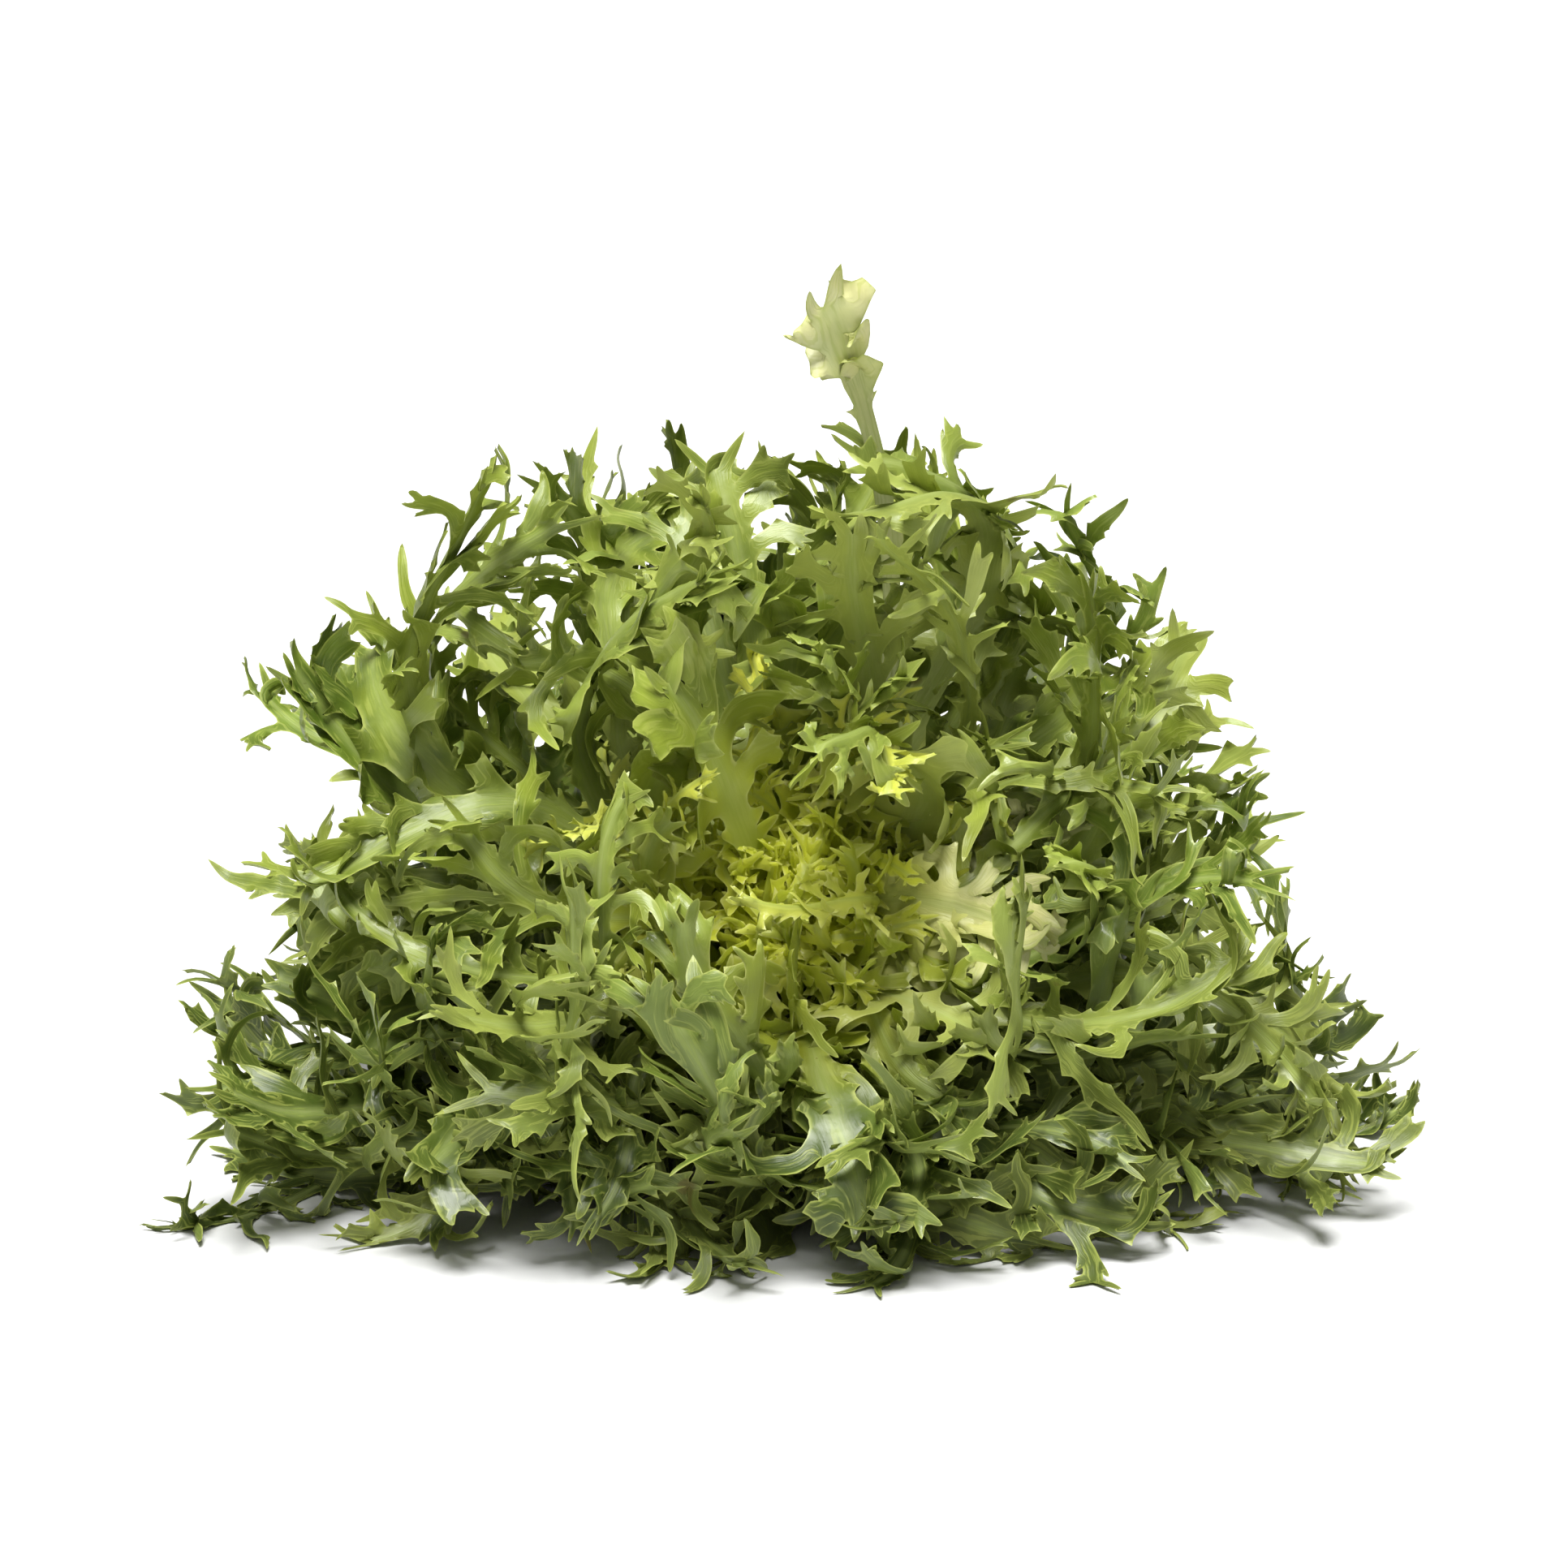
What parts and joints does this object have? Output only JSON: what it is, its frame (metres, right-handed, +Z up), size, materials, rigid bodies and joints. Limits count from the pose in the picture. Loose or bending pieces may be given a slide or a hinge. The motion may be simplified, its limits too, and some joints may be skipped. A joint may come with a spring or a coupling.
{
  "type": "curly endive head",
  "caption": "Head of curly endive: finely cut, frilled leaves growing from one cut stem round a pale heart, resting on a table.",
  "frame": {"origin": "on the table, under the middle of the whole head", "axes": "+Z up from the table; -Y towards the side that the heart leans to; +X to the right of a viewer who looks into the heart"},
  "size_m": [0.324, 0.2808, 0.2237],
  "materials": {
    "outer_leaf": "moist mid-green leaf with a satin sheen",
    "inner_leaf": "moist light-green leaf with a satin sheen",
    "heart_leaf": "blanched yellow-green leaf with a satin sheen",
    "stem": "pale, moist cut stem"
  },
  "bodies": {
    "root": {"cut_stem": "stem", "heart_leaf_1": "heart_leaf", "heart_leaf_2": "heart_leaf", "heart_leaf_3": "heart_leaf", "heart_leaf_4": "heart_leaf", "heart_leaf_5": "heart_leaf", "inner_leaf_1": "inner_leaf", "inner_leaf_2": "inner_leaf", "inner_leaf_3": "inner_leaf", "inner_leaf_4": "inner_leaf", "inner_leaf_5": "inner_leaf", "inner_leaf_6": "inner_leaf", "middle_leaf_1": "inner_leaf", "middle_leaf_2": "inner_leaf", "middle_leaf_3": "inner_leaf", "middle_leaf_4": "inner_leaf", "middle_leaf_5": "inner_leaf", "middle_leaf_6": "inner_leaf", "middle_leaf_7": "inner_leaf", "middle_leaf_8": "inner_leaf", "outer_leaf_1": "outer_leaf", "outer_leaf_10": "outer_leaf", "outer_leaf_2": "outer_leaf", "outer_leaf_3": "outer_leaf", "outer_leaf_4": "outer_leaf", "outer_leaf_5": "outer_leaf", "outer_leaf_6": "outer_leaf", "outer_leaf_7": "outer_leaf", "outer_leaf_8": "outer_leaf", "outer_leaf_9": "outer_leaf", "rim_leaf_1": "outer_leaf", "rim_leaf_2": "outer_leaf", "rim_leaf_3": "outer_leaf", "rim_leaf_4": "outer_leaf", "rim_leaf_5": "outer_leaf", "rim_leaf_6": "outer_leaf", "rim_leaf_7": "outer_leaf", "rim_leaf_8": "outer_leaf", "rim_leaf_9": "outer_leaf", "skirt_leaf_1": "outer_leaf", "skirt_leaf_10": "outer_leaf", "skirt_leaf_2": "outer_leaf", "skirt_leaf_3": "outer_leaf", "skirt_leaf_4": "outer_leaf", "skirt_leaf_5": "outer_leaf", "skirt_leaf_6": "outer_leaf", "skirt_leaf_7": "outer_leaf", "skirt_leaf_8": "outer_leaf", "skirt_leaf_9": "outer_leaf", "table_leaf_1": "outer_leaf", "table_leaf_10": "outer_leaf", "table_leaf_2": "outer_leaf", "table_leaf_3": "outer_leaf", "table_leaf_4": "outer_leaf", "table_leaf_5": "outer_leaf", "table_leaf_6": "outer_leaf", "table_leaf_7": "outer_leaf", "table_leaf_8": "outer_leaf", "table_leaf_9": "outer_leaf"}
  },
  "joints": []
}
